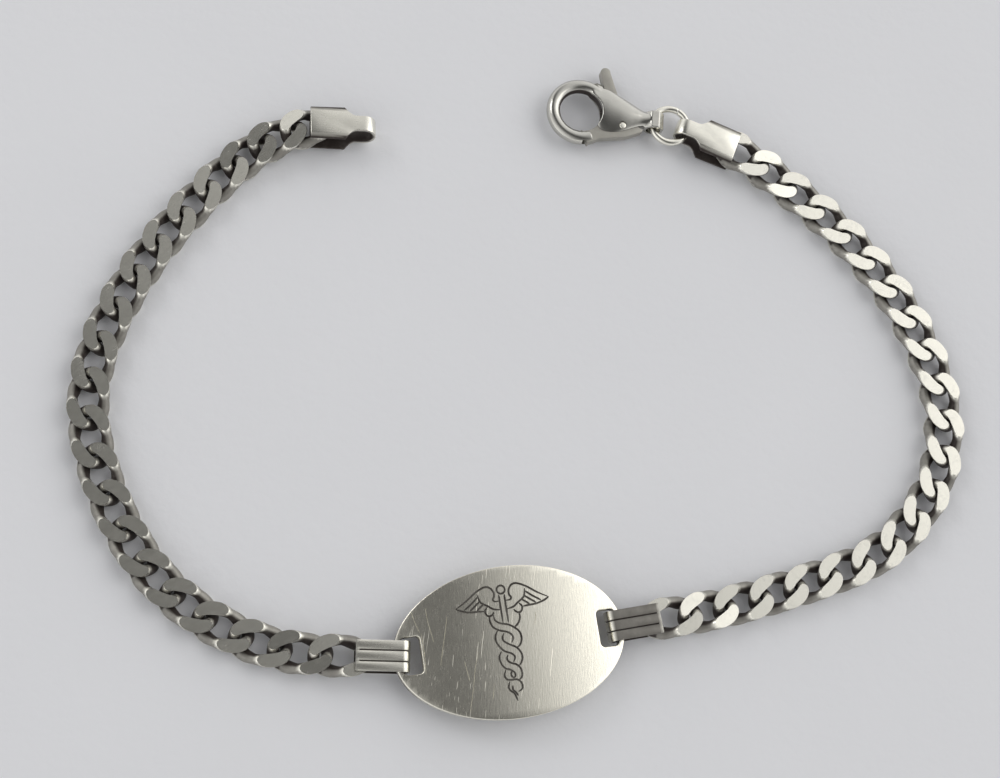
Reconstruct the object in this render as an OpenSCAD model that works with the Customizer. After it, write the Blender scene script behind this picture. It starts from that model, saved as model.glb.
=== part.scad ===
// Medical alert bracelet in silver, lying open: an oval engraved plate, a ribbed bail in each of its
// slots, two lengths of ground curb chain, folded end tags, a jump ring and a lobster claw clasp.
// All lengths are in millimetres and all angles in degrees. The surface it lies on is at z = 0.

/* [Plate] */
// Length of the plate along the bracelet
plate_len = 21.3; // [19:0.1:25]
// Width of the plate
plate_width = 14; // [12:0.1:17]
// Thickness of the plate
plate_t = 0.9; // [0.8:0.05:1]
// Radius that the plate is bent to along its length
plate_bend_r = 50; // [42:1:90]
// Width of the bar left between each slot and the plate's end
slot_bar_w = 0.93; // [0.8:0.01:1]
// Width of each slot, along the plate
slot_w = 1.9; // [1.6:0.05:2.4]
// Corner radius of the slots
slot_corner_r = 0.4; // [0.3:0.05:0.5]
// Play between a bail's side and its slot's end
slot_play = 0.3; // [0.27:0.01:0.35]

/* [Emblem] */
// Height of the engraved emblem, from the ball on its staff to the snakes' tails
emblem_h = 10; // [8:0.1:11]
// Width of an engraved line
engrave_w = 0.16; // [0.12:0.01:0.22]
// Depth of the engraving
engrave_d = 0.12; // [0.08:0.01:0.2]

/* [Chain] */
// Number of links left of the plate
links_left = 21; // [19:1:21]
// Number of links right of the plate
links_right = 21; // [19:1:21]
// Distance from one link to the next
link_pitch = 3.6; // [3.55:0.01:3.65]
// Diameter of the wire of a link
link_wire = 0.96; // [0.85:0.01:1]
// Width of a link over its wire
link_width = 3.8; // [3.75:0.05:3.95]
// Length of a link over its wire
link_len = 5.8; // [5.75:0.01:5.9]
// Thickness of the chain between its ground faces
link_t = 1.4; // [1.3:0.05:1.5]
// Twist of a link from its middle to each end
link_twist = 50; // [48:1:54]

/* [Strap ends] */
// Thickness of the strip that the bails and end tags are folded from
strip_t = 0.35; // [0.3:0.01:0.45]
// Play between the chain and each leaf that holds it
leaf_play = 0.1; // [0.06:0.01:0.12]
// Diameter of the cross pin through the end link
cross_pin_d = 0.4; // [0.3:0.05:0.45]
// Distance from a leaf's end to the middle of its cross pin
cross_pin_inset = 0.3; // [0.25:0.05:0.5]
// Length of a bail over its fold
bail_len = 5.35; // [4.8:0.05:6]
// Width of a bail
bail_width = 2.75; // [2.5:0.05:3]
// Width of the grooves between a bail's ribs
groove_w = 0.2; // [0.12:0.02:0.3]
// Depth of the grooves
groove_d = 0.12; // [0.08:0.01:0.18]
// Width of the plain lip that the grooves stop at
bail_lip = 0.3; // [0.2:0.05:0.5]
// Length of an end tag over its fold
tag_len = 6.3; // [5.8:0.1:7.5]
// Width of an end tag's leaves
tag_width = 3.55; // [3.2:0.05:3.8]
// Width of an end tag's neck
tag_neck_w = 1.65; // [1.4:0.05:1.75]
// Width of the bevel along a leaf's long sides
tag_bevel_w = 0.6; // [0.4:0.05:0.8]
// Drop of that bevel
tag_bevel_d = 0.16; // [0.08:0.01:0.2]

/* [Jump ring] */
// Outer diameter of the jump ring
ring_d = 4.3; // [4.2:0.05:4.8]
// Diameter of its wire
ring_wire = 0.68; // [0.55:0.01:0.7]

/* [Clasp] */
// Diameter of the hole inside the hook
hook_hole_d = 4.3; // [4.1:0.05:4.6]
// Diameter of the hook's wire
hook_wire = 1.2; // [1.05:0.05:1.3]
// Distance from the middle of the hook to the middle of the tail eye
clasp_reach = 7.45; // [7.3:0.05:8.5]
// Thickness of the clasp's body
clasp_t = 2.2; // [2.1:0.05:2.4]
// Width of the tail eye
tail_w = 1.75; // [1.6:0.05:1.85]
// Wall round the tail eye
tail_wall = 0.32; // [0.3:0.01:0.4]
// Play of the jump ring in the tail eye
tail_play = 0.22; // [0.2:0.01:0.24]
// Thickness of the lever
lever_t = 0.9; // [0.7:0.05:1]
// Running gap between the lever and the body's cheeks
lever_play = 0.06; // [0.04:0.01:0.1]
// Diameter of the lever's pin
lever_pin_d = 0.7; // [0.5:0.05:0.8]
// Radial play of the lever on its pin
pin_play = 0.04; // [0.02:0.01:0.06]
// Gap between the hook's tip and the closed gate
gate_gap = 0.12; // [0.08:0.01:0.2]

/* [Hidden] */
function link_names(side, count) = [for (k = [1:count]) str("link_", side, "_", k)];
$fn = 48;

// Lay of the open bracelet: the plate's middle and the way its length points
plate_x = -3.38;
plate_y = -24.84;
plate_angle = 6.5;
// Ways that the bails point, from the plate outwards
bail_left_angle = 177;
bail_right_angle = 8;
// Distance that each bail's fold stays off the middle of its bar
bar_ease = 0.3;
// Middle of the emblem, from the middle of the plate
emblem_at = [-0.35, -0.43];

// Lift of a link that lies between the leaves of a bail or of a flat end tag
held = leaf_play + strip_t;

// Lay of the left chain. Columns: link number from the plate, heading, lift off the surface, roll, rise
// of the heading, and slack in the step up to the link
left_lay = [
    [1, 177, held, 0, 0, 0],
    [2, 171, 0.2, 0, -4.5, 0],
    [3, 160, 0, 0, 0, 0],
    [5, 142, 0, 0, 0, 0],
    [7, 121, 0, 0, 0, 0],
    [9, 108, 0, 0, 0, 0],
    [10, 101, 0, 0, 0, 0],
    [11, 88, 0, 0, 0, 0],
    [12, 76, 0, 0, 0, 0],
    [13, 67, 0, 0, 0, 0],
    [16, 52, 0, 0, 0, 0],
    [18, 45, 0, 0, 0, 0],
    [19, 38, 0.18, -5, 4, 0.09],
    [20, 24, 0.49, -6, 6, 0.43],
    [21, 18, held, 0, 0, 0.31]];
// End tag on the left chain: heading, roll, and slack in front of its cross pin
tag_left_angle = -1;
tag_left_roll = -9;
tag_left_slack = 1.2;

// Lay of the right chain, in the same columns
right_lay = [
    [1, 7, held, 0, 0, 0],
    [2, 10, 0.23, 0, -5, 0],
    [3, 13, 0, 0, 0, 0],
    [6, 18, 0, 0, 0, 0],
    [7, 29, 0, 0, 0, 0],
    [8, 43, 0, 0, 0, 0],
    [9, 53, 0, 0, 0, 0],
    [10, 67, 0, 0, 0, 0],
    [11, 81, 0, 0, 0, 0],
    [12, 94, 0, 0, 0, 0],
    [13, 105, 0, 0, 0, 0],
    [16, 125, 0, 0, 0, 0],
    [19, 140, 0, 0, 0, 0],
    [20, 144, 0.23, 0, 5, 0],
    [21, 148, held, 0, 0, 0]];
tag_right_angle = 157;
tag_right_roll = 0;
tag_right_slack = 0.15;

// Ways that the ring points from the right tag's eye, and the clasp's eye and tail from the ring
ring_angle = 160;
tail_angle = 170;
clasp_angle = 173;

// Half length and half width of a link's centre line
link_a = (link_len - link_wire) / 2;
link_b = (link_width - link_wire) / 2;
// Exponent that squares that line's ends: 1 is an ellipse, less is squarer
link_square = 0.85;
// Rings of points round a link, and points in each ring
link_stations = 20;
wire_sides = 6;
// Distance from a link's middle to a cross pin that clears the inside of its end
pin_clearance = 0.2;
pin_to_link = link_a - link_wire / 2 - cross_pin_d / 2 - pin_clearance;

// Folded strips
leaf_gap = link_t + 2 * leaf_play;
fold_r = leaf_gap / 2 + strip_t;
strap_z = fold_r;
bail_leaf = bail_len - fold_r;
tag_leaf = tag_len - fold_r;
// Length of a tag's leaf at its full width, and the share of its neck that stays straight
tag_wide_len = 3.3;
tag_shoulder = tag_leaf - tag_wide_len;
tag_straight = 0.4;
// Width of the leaf's end, as a share of its widest place
tag_end_share = 0.97;

// Plate
slot_len = bail_width + 2 * slot_play;
bar_x = plate_len / 2 - slot_bar_w / 2;
plate_top = strap_z + plate_t / 2 + plate_bend_r - sqrt(pow(plate_bend_r, 2) - pow(bar_x, 2));

// Ring
ring_r = (ring_d - ring_wire) / 2;
// Height of the ring's arc over a chord
function sag(half_w) = ring_r - sqrt(pow(ring_r, 2) - pow(half_w, 2));
// Distance that the ring hangs further out than the middle of the right tag's eye
ring_slack = -0.05;
// Room in the tail eye for the ring's slope across it, and the eye's radius
tail_skew = tail_w / 2 * abs(sin(clasp_angle - tail_angle));
tail_hole_r = ring_wire / 2 + sag(tail_w / 2) / 2 + tail_skew + tail_play;

// Clasp, in a frame with the hook's middle at the origin and the tail along +x
hook_hole_r = hook_hole_d / 2;
hook_mid_r = hook_hole_r + hook_wire / 2;
hook_outer_r = hook_hole_r + hook_wire;
// Arc of the hook that is round wire: where it starts, and how far it runs
hook_start = 60;
hook_sweep = 235;
// Radius that the body's faces are domed to, and where their crown lies, as shares of the hook's
// outer radius
dome_share = 2.7;
crown_share = 0.12;
// Middle of the lever's pin, then the thumb piece from its foot to its round tip
pivot = [0.564 * clasp_reach, -0.33 * hook_outer_r];
thumb_foot = pivot + [-0.27, -0.06] * hook_outer_r;
thumb_tip = pivot + [-0.6, 1.66] * hook_outer_r;
thumb_r = 0.15 * hook_outer_r;
// Room between the thumb piece and the side of the pocket behind it
thumb_gap = 0.14;
// Share of the thumb piece's height that the pocket's side follows
thumb_behind = 0.3;
lever_pocket_t = lever_t + 2 * lever_play;
// Depth that each end of the lever's pin is sunk below the body's face
pin_sunk = 0.05;
lever_pin_len = clasp_t - 2 * pin_sunk;
// Line that the gate meets the hook's tip along, as shares of the hook's outer radius
gate_inner = [0.036, -0.627] * hook_outer_r;
gate_outer = [0.224, -1.015] * hook_outer_r;
// Amount taken off the gate's outer corner, so that it swings clear of the hook's tip
gate_relief = gate_gap;
// Distance that the gate's inside stays back from the hook's hole
gate_ease = 0.05;
gate_slant = atan2(gate_inner[1] - gate_outer[1], gate_inner[0] - gate_outer[0]);

function dir(a) = [cos(a), sin(a)];
function spow(v, e) = sign(v) * pow(abs(v), e);
function column(table, c) = [for (row = table) [row[0], row[c]]];
function heading(lay, k) = lookup(k, column(lay, 1));
function lift(lay, k) = lookup(k, column(lay, 2));
function roll(lay, k) = lookup(k, column(lay, 3));
function rise(lay, k) = lookup(k, column(lay, 4));
function slack(lay, k) = lookup(k, column(lay, 5));
function step(lay, k) = (link_pitch - slack(lay, k)) * dir((heading(lay, k - 1) + heading(lay, k)) / 2);
function deep(v, z) = [v[0], v[1], z];

// Middle of a bail's fold, which lies round the bar at the plate's end
function bail_at(side) =
    [plate_x, plate_y] + side * bar_x * dir(plate_angle) - bar_ease * dir(bail_angle(side));
function bail_angle(side) = side < 0 ? bail_left_angle : bail_right_angle;
// Cross pin of a bail
function bail_pin(side) = bail_at(side) + (bail_leaf - cross_pin_inset) * dir(bail_angle(side));
// Middle of link k, found by walking along the chain from the bail
function link_at(side, lay, k) = k == 1
    ? bail_pin(side) + pin_to_link * dir(heading(lay, 1))
    : link_at(side, lay, k - 1) + step(lay, k);

// End tags. Columns: last link's middle, last link's heading, tag's heading, roll, slack at its cross pin
end_left = [link_at(-1, left_lay, links_left), heading(left_lay, links_left),
    tag_left_angle, tag_left_roll, tag_left_slack];
end_right = [link_at(1, right_lay, links_right), heading(right_lay, links_right),
    tag_right_angle, tag_right_roll, tag_right_slack];
// Height of a rolled tag's middle that just keeps its lower leaf on the surface
function tag_z(roll_angle) = max(
    fold_r * cos(roll_angle) + (tag_width / 2 - tag_bevel_w) * abs(sin(roll_angle)),
    (fold_r - tag_bevel_d) * cos(roll_angle) + tag_width / 2 * abs(sin(roll_angle)));
// Distance from the last link's middle to the tag's eye
function tag_reach(end) = tag_leaf - cross_pin_inset + pin_to_link - end[4];
tag_right_at = end_right[0] + tag_reach(end_right) * dir(end_right[2]);
ring_at = tag_right_at + (ring_r + ring_slack) * dir(ring_angle);
tail_at = ring_at + (ring_r - sag(tail_w / 2) / 2) * dir(tail_angle);
hook_at = tail_at + clasp_reach * dir(clasp_angle);

// One point on the centre line of a link's wire: an oval whose plane turns with x
function wire_point(t) = let(
    c = spow(cos(t), link_square),
    s = spow(sin(t), link_square),
    turn = -link_twist * c)
    [link_a * c, link_b * s * cos(turn), link_b * s * sin(turn)];
function unit(v) = v / norm(v);
// Ring of points round the wire at t, with what stands above the ground faces cut down to them
function wire_ring(t) = let(
    p = wire_point(t),
    along = unit(wire_point(t + 1) - wire_point(t - 1)),
    turn = -link_twist * spow(cos(t), link_square),
    out = unit(cross(along, [0, -sin(turn), cos(turn)])),
    up = cross(out, along))
    [for (j = [0:wire_sides - 1])
        let(q = p + link_wire / 2 * (cos(j * 360 / wire_sides) * out + sin(j * 360 / wire_sides) * up))
        [q[0], q[1], max(-link_t / 2, min(link_t / 2, q[2]))]];

module curb_link() {
    n = link_stations;
    m = wire_sides;
    points = [for (i = [0:n - 1]) each wire_ring(i * 360 / n)];
    faces = [for (i = [0:n - 1], j = [0:m - 1])
        let(next_j = (j + 1) % m, next = (i + 1) % n * m, a = i * m + j, c = next + next_j)
        each [[a, i * m + next_j, c], [a, c, next + j]]];
    polyhedron(points, faces, convexity = 6);
}

// Puts its children at the last link, in the plane that an end tag holds it in
module at_end(end) {
    translate(deep(end[0], tag_z(end[3]))) rotate([end[3], 0, end[2]]) children();
}

module chain_link(side, lay, k) {
    color("silver")
        translate(deep(link_at(side, lay, k), link_t / 2 + lift(lay, k)))
            rotate([roll(lay, k), -rise(lay, k), heading(lay, k)])
                curb_link();
}

module last_link(end) {
    color("silver")
        at_end(end) rotate(end[1] - end[2]) curb_link();
}

module left_link(k) {
    if (k < links_left) chain_link(-1, left_lay, k);
    else last_link(end_left);
}

module right_link(k) {
    if (k < links_right) chain_link(1, right_lay, k);
    else last_link(end_right);
}

module rounded_slot(w, h, r) {
    square([w - 2 * r, h], center = true);
    square([w, h - 2 * r], center = true);
    for (x = [-1, 1], y = [-1, 1])
        translate([x * (w / 2 - r), y * (h / 2 - r)]) circle(r);
}

module oval(length, width) {
    polygon([for (a = [0:5:355]) [length / 2 * cos(a), width / 2 * sin(a)]]);
}

// Long cylinder that the plate's faces are bent to
module bend(r) {
    cylinder(h = 2 * plate_width, r = r, center = true, $fn = 240);
}

// Strokes of the emblem, as points in shares of its height: across, then up.
// These are drawn on both sides of the staff: wing, feathers, and snake's head
twin_strokes = [
    [[0.43, 0.38], [0.33, 0.435], [0.23, 0.505], [0.15, 0.54], [0.1, 0.53], [0.07, 0.485], [0.07, 0.445],
        [0.085, 0.42], [0.07, 0.4], [0.03, 0.4]],
    [[0.43, 0.38], [0.38, 0.355], [0.31, 0.335], [0.24, 0.33], [0.18, 0.325]],
    [[0.22, 0.485], [0.205, 0.42], [0.175, 0.39], [0.135, 0.365], [0.095, 0.335], [0.03, 0.32]],
    [[0.22, 0.46], [0.28, 0.41], [0.355, 0.36]],
    [[0.205, 0.42], [0.25, 0.385], [0.305, 0.345]],
    [[0.175, 0.39], [0.21, 0.365], [0.245, 0.335]],
    [[0.145, 0.36], [0.17, 0.33], [0.165, 0.295], [0.14, 0.275], [0.11, 0.285], [0.09, 0.31]],
    [[0.025, 0.455], [0.025, 0.36], [0.025, 0.2]]];
// These are drawn once: the two snakes' bodies, from their necks down to their tails
single_strokes = [
    [[-0.14, 0.275], [-0.14, 0.225], [-0.12, 0.175], [-0.07, 0.14], [-0.01, 0.12], [0.03, 0.095],
        [0.045, 0.055], [0.025, 0.015]],
    [[-0.1, 0.28], [-0.095, 0.235], [-0.05, 0.2], [0.02, 0.18], [0.08, 0.14], [0.115, 0.095],
        [0.12, 0.04], [0.1, -0.01], [0.065, -0.035]],
    [[0.135, 0.275], [0.135, 0.23], [0.115, 0.185], [0.075, 0.15]],
    [[-0.085, 0.14], [-0.11, 0.1], [-0.115, 0.05], [-0.09, -0.005], [-0.05, -0.05], [0.01, -0.08],
        [0.035, -0.115], [0.015, -0.155]],
    [[-0.03, 0.11], [-0.05, 0.075], [-0.045, 0.04], [0, 0.005], [0.06, -0.03], [0.095, -0.08],
        [0.1, -0.13], [0.08, -0.175], [0.055, -0.195]],
    [[-0.08, -0.05], [-0.105, -0.09], [-0.1, -0.15], [-0.07, -0.2], [-0.025, -0.22], [0.01, -0.25],
        [0.01, -0.285], [-0.015, -0.295]],
    [[-0.025, -0.085], [-0.04, -0.12], [-0.02, -0.155], [0.035, -0.18], [0.07, -0.22], [0.075, -0.265],
        [0.065, -0.3], [0.04, -0.32]],
    [[-0.065, -0.215], [-0.085, -0.26], [-0.07, -0.3], [-0.03, -0.31], [0.005, -0.31], [0.035, -0.32],
        [0.06, -0.355], [0.055, -0.4], [0.015, -0.42]],
    [[-0.015, -0.235], [-0.025, -0.265], [-0.01, -0.295]],
    [[-0.045, -0.32], [-0.065, -0.37], [-0.05, -0.405], [-0.02, -0.435], [0, -0.5]],
    [[-0.025, -0.36], [-0.03, -0.395], [-0.005, -0.425], [0.01, -0.455]]];
staff_ball = [0, 0.5];
staff_ball_r = 0.037;

function flip(points) = [for (p = points) [-p[0], p[1]]];
function along(points, i) = unit(points[min(i + 1, len(points) - 1)] - points[max(i - 1, 0)]);
function beside(points, i, w) = points[i] + w * [-along(points, i)[1], along(points, i)[0]];

// One engraved line through the points, as wide as the cutter
module stroke(points) {
    p = points * emblem_h;
    w = engrave_w / 2;
    last = len(p) - 1;
    polygon(concat([for (i = [0:last]) beside(p, i, w)], [for (i = [last:-1:0]) beside(p, i, -w)]));
}

module emblem() {
    for (points = twin_strokes) {
        stroke(points);
        stroke(flip(points));
    }
    for (points = single_strokes)
        stroke(points);
    translate(staff_ball * emblem_h) difference() {
        circle(staff_ball_r * emblem_h + engrave_w / 2);
        circle(staff_ball_r * emblem_h - engrave_w / 2);
    }
}

// Solid that the engraving takes out of the plate, down to an even depth under its curved top
module engraving() {
    difference() {
        translate([emblem_at[0], emblem_at[1], 0]) linear_extrude(plate_top + 1) emblem();
        translate([0, 0, plate_top - plate_bend_r])
            rotate([90, 0, 0])
                bend(plate_bend_r - engrave_d);
    }
}

module id_plate() {
    slot_x = plate_len / 2 - slot_bar_w - slot_w / 2;
    color("silver")
        translate([plate_x, plate_y, 0]) rotate(plate_angle)
            difference() {
                intersection() {
                    linear_extrude(plate_top + 1) oval(plate_len, plate_width);
                    translate([0, 0, plate_top - plate_bend_r])
                        rotate([90, 0, 0])
                            difference() {
                                bend(plate_bend_r);
                                bend(plate_bend_r - plate_t);
                            }
                }
                for (side = [-1, 1])
                    translate([side * slot_x, 0, -1])
                        linear_extrude(plate_top + 3) rounded_slot(slot_w, slot_len, slot_corner_r);
                engraving();
            }
}

// Side view of a folded strip, with its fold round the origin and its leaves along +x
module fold_profile(leaf, outer_r) {
    difference() {
        union() {
            circle(outer_r);
            translate([0, -outer_r]) square([leaf, 2 * outer_r]);
        }
        circle(leaf_gap / 2);
        translate([0, -leaf_gap / 2]) square([leaf + 1, leaf_gap]);
    }
}

module cross_pin(leaf) {
    translate([leaf - cross_pin_inset, 0, 0])
        cylinder(h = leaf_gap + strip_t, d = cross_pin_d, center = true);
}

// What a groove takes off the outside of a folded strip, in side view, short of the lip at its end
module groove_profile(leaf) {
    floor_r = fold_r - groove_d;
    difference() {
        translate([-2 * fold_r, -2 * fold_r]) square([2 * fold_r + leaf - bail_lip, 4 * fold_r]);
        circle(floor_r);
        translate([0, -floor_r]) square([leaf, 2 * floor_r]);
    }
}

module bail() {
    rib_w = (bail_width - 2 * groove_w) / 3;
    rotate([90, 0, 0])
        difference() {
            linear_extrude(bail_width, center = true) fold_profile(bail_leaf, fold_r);
            for (side = [-1, 1])
                translate([0, 0, side * (rib_w + groove_w) / 2])
                    linear_extrude(groove_w, center = true) groove_profile(bail_leaf);
        }
    cross_pin(bail_leaf);
}

module placed_bail(side) {
    at = bail_at(side);
    color("silver")
        translate([at[0], at[1], strap_z]) rotate(bail_angle(side)) bail();
}

module bail_left() {
    placed_bail(-1);
}

module bail_right() {
    placed_bail(1);
}

// Plan of an end tag: a neck round the fold, a hollow taper, and straight sides to the leaf's end
module tag_plan() {
    neck = tag_neck_w / 2;
    half = tag_width / 2;
    taper = [for (s = [0:0.2:1])
        [tag_shoulder * (tag_straight + (1 - tag_straight) * s), neck + (half - neck) * s * s]];
    side = concat([[-fold_r - 1, neck]], taper, [[tag_leaf, half * tag_end_share]]);
    polygon(concat(side, [for (i = [len(side) - 1:-1:0]) [side[i][0], -side[i][1]]]));
}

module end_tag() {
    half = tag_width / 2;
    flat = half - tag_bevel_w;
    low = fold_r - tag_bevel_d;
    intersection() {
        rotate([90, 0, 0]) linear_extrude(tag_width + 1, center = true) fold_profile(tag_leaf, fold_r);
        linear_extrude(2 * fold_r + 2, center = true) tag_plan();
        rotate([90, 0, 90])
            linear_extrude(2 * tag_len, center = true)
                polygon([[-half, -low], [-flat, -fold_r], [flat, -fold_r], [half, -low],
                    [half, low], [flat, fold_r], [-flat, fold_r], [-half, low]]);
    }
    cross_pin(tag_leaf);
}

module placed_tag(end) {
    color("silver")
        at_end(end) translate([tag_reach(end), 0, 0]) mirror([1, 0, 0]) end_tag();
}

module tag_left() {
    placed_tag(end_left);
}

module tag_right() {
    placed_tag(end_right);
}

module jump_ring() {
    color("silver")
        translate([ring_at[0], ring_at[1], strap_z])
            rotate_extrude() translate([ring_r, 0]) circle(d = ring_wire);
}

// Puts its children at the clasp, whose frame has the tail along +x
module at_clasp() {
    translate([hook_at[0], hook_at[1], strap_z]) rotate(clasp_angle + 180) children();
}

// Half plane left of the line that the gate closes on, as a large block
module left_of_gate(shift) {
    size = 4 * hook_outer_r;
    translate([gate_inner[0] - shift, gate_inner[1], 0]) rotate(gate_slant)
        translate([-size / 2, 0, -size / 2]) cube(size);
}

module hook() {
    intersection() {
        rotate(hook_start) rotate_extrude(angle = hook_sweep)
            translate([hook_mid_r, 0]) circle(d = hook_wire);
        union() {
            left_of_gate(gate_gap);
            translate([-2 * hook_outer_r, -0.3 * hook_outer_r, -clasp_t])
                cube([4 * hook_outer_r, 2 * hook_outer_r, 2 * clasp_t]);
        }
    }
}

// Outline of the clasp's body seen from above.
// Columns: share of the reach, then share of the hook's outer radius, from the hook round to the gate
body_outline = [
    [0.04, 0.6], [0.04, 1.03], [0.2, 1.04], [0.33, 0.93], [0.46, 0.78], [0.7, 0.47], [0.85, 0.28],
    [1, 0.23], [1, -0.23], [0.85, -0.2], [0.72, -0.36], [0.58, -0.55], [0.45, -0.66], [0.34, -0.68],
    [0.2, -0.64], [0.14, -0.4]];
// Half thickness of the body seen from the side. Columns: share of the reach, share of the thickness
body_side = [[-0.2, 0.5], [0.42, 0.5], [0.62, 0.42], [0.8, 0.34], [1.2, 0.33]];
// Pocket that the lever swings in, from the gate round below to above the thumb piece. Columns as before
pocket_outline = [
    [0.07, 0.15], [0.03, -1.5], [0.95, -1.5], [0.95, -0.34], [0.71, -0.06], [0.7, 0.4], [0.67, 1.5]];

function clasp_points(table) = [for (row = table) [row[0] * clasp_reach, row[1] * hook_outer_r]];

module clasp_shell() {
    dome_r = dome_share * hook_outer_r;
    middle = crown_share * hook_outer_r;
    size = 3 * clasp_reach;
    side = [for (row = body_side) [row[0] * clasp_reach, row[1] * clasp_t]];
    intersection() {
        linear_extrude(2 * clasp_t, center = true) polygon(clasp_points(body_outline));
        rotate([90, 0, 0])
            linear_extrude(4 * hook_outer_r, center = true)
                polygon(concat(side, [for (i = [len(side) - 1:-1:0]) [side[i][0], -side[i][1]]]));
        translate([0, middle, clasp_t / 2 - dome_r])
            rotate([0, 90, 0]) cylinder(h = size, r = dome_r, center = true, $fn = 96);
        translate([0, middle, dome_r - clasp_t / 2])
            rotate([0, 90, 0]) cylinder(h = size, r = dome_r, center = true, $fn = 96);
    }
}

module pocket_plan() {
    polygon(concat(clasp_points(pocket_outline), [
        [thumb_tip[0] - thumb_r - thumb_gap, 1.5 * hook_outer_r],
        thumb_tip - [thumb_r + thumb_gap, 0],
        (1 - thumb_behind) * thumb_foot + thumb_behind * (thumb_tip - [thumb_r, 0]) - [thumb_gap, 0]]));
}

module tail_bar(r, width) {
    translate([clasp_reach, 0, 0]) rotate([90, 0, 0]) cylinder(h = width, r = r, center = true);
}

module clasp_body() {
    color("lightgray")
        at_clasp() {
            hook();
            difference() {
                union() {
                    clasp_shell();
                    tail_bar(tail_hole_r + tail_wall, tail_w);
                }
                cylinder(h = 2 * clasp_t, r = hook_hole_r, center = true);
                linear_extrude(lever_pocket_t, center = true) pocket_plan();
                translate([pivot[0], pivot[1], 0])
                    cylinder(h = 2 * clasp_t, r = lever_pin_d / 2 + pin_play / 2, center = true);
                tail_bar(tail_hole_r, tail_w + 2);
            }
        }
}

// Lever seen from above: its gate follows the hook, and its arm runs on below the body
module lever_plan() {
    gate_r = hook_hole_r + gate_ease;
    outer = [for (a = [-70:4:-54]) hook_outer_r * dir(a)];
    inner = [for (a = [-40:-6:-82]) gate_r * dir(a)];
    arm = [[0.62, -0.64], [0.84, -0.41], [0.85, -0.33], [0.8, -0.3], [0.7, -0.16], [0.45, -0.1]];
    polygon(concat([gate_outer + [gate_relief, 0]], outer, clasp_points(arm), inner, [gate_inner]));
    polygon([thumb_foot, pivot + [0.18 * hook_outer_r, 0],
        thumb_tip + [thumb_r, 0], thumb_tip - [thumb_r, 0]]);
    translate(thumb_tip) circle(thumb_r);
    translate(pivot) circle(lever_pin_d);
}

module clasp_lever() {
    color("lightgray")
        at_clasp()
            difference() {
                linear_extrude(lever_t, center = true) lever_plan();
                translate([pivot[0], pivot[1], 0])
                    cylinder(h = 2 * clasp_t, r = lever_pin_d / 2 + pin_play, center = true);
            }
}

module lever_pin() {
    color("gray")
        at_clasp()
            translate([pivot[0], pivot[1], 0])
                cylinder(h = lever_pin_len, d = lever_pin_d, center = true);
}

id_plate();
bail_left();
bail_right();
tag_left();
tag_right();
jump_ring();
clasp_body();
clasp_lever();
lever_pin();
for (k = [1:links_left])
    left_link(k);
for (k = [1:links_right])
    right_link(k);
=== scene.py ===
"""Medical alert bracelet in worn silver, dressed on the frame that the CAD model gives.

Lengths are in millimetres until a piece is placed, which also scales it to the frame's metres.
"""

import logging
import math
from collections.abc import Callable
from dataclasses import dataclass
from enum import Enum

import bpy
import numpy as np
from mathutils import Matrix, Vector


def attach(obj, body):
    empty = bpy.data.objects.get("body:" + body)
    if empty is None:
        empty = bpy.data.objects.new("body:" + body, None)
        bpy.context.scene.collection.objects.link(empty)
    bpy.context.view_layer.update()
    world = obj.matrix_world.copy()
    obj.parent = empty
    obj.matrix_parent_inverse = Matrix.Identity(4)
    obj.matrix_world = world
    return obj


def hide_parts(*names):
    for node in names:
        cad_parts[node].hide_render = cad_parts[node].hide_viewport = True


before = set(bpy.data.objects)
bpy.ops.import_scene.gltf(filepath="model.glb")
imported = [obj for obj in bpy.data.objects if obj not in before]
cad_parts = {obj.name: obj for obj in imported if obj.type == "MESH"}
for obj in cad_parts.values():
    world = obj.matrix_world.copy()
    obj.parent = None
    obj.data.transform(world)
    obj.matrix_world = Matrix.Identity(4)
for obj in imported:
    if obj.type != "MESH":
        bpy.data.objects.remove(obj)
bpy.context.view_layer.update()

MM = 0.001
STRAP_Z = 1.15
UPRIGHT = Matrix.Rotation(math.radians(90), 4, "X")
ALONG_X = Matrix(((0, 0, 1, 0), (1, 0, 0, 0), (0, 1, 0, 0), (0, 0, 0, 1)))
log = logging.getLogger("bracelet")

Point = tuple[float, ...]
Piece = bpy.types.Object


def spot(x: float, y: float, z: float, heading: float = 0.0, roll: float = 0.0) -> Matrix:
    """Returns the matrix of a place in millimetres and two turns in degrees, the roll made first."""
    turn = Matrix.Rotation(math.radians(heading), 4, "Z") @ Matrix.Rotation(math.radians(roll), 4, "X")
    return Matrix.Translation((x, y, z)) @ turn


def arc(middle: Point, radius: float, start: float, stop: float, steps: int) -> list[Point]:
    """Returns the ends of an arc's equal steps, from one direction to another, both in degrees."""
    angles = [math.radians(start + (stop - start) * step / steps) for step in range(steps + 1)]
    return [(middle[0] + radius * math.cos(a), middle[1] + radius * math.sin(a)) for a in angles]


def between(a: float, b: float, c: float, d: float, t: float) -> float:
    """Returns the value at a share t of the way from b to c, on a smooth curve through all four."""
    return 0.5 * (2 * b + (c - a) * t + (2 * a - 5 * b + 4 * c - d) * t**2 + (3 * b - a - 3 * c + d) * t**3)


def smoothed(points: list[Point], steps: int = 3) -> list[Point]:
    """Runs a smooth curve through a stroke's points.

    Args:
        points: The stroke's points.
        steps: Pieces between two points.

    Returns:
        The finer stroke.
    """
    fine: list[Point] = []
    for index in range(len(points) - 1):
        p0, p1 = points[max(index - 1, 0)], points[index]
        p2, p3 = points[index + 1], points[min(index + 2, len(points) - 1)]
        for step in range(steps):
            fine.append(tuple(between(*four, step / steps) for four in zip(p0, p1, p2, p3)))
    return fine + [points[-1]]


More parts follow.
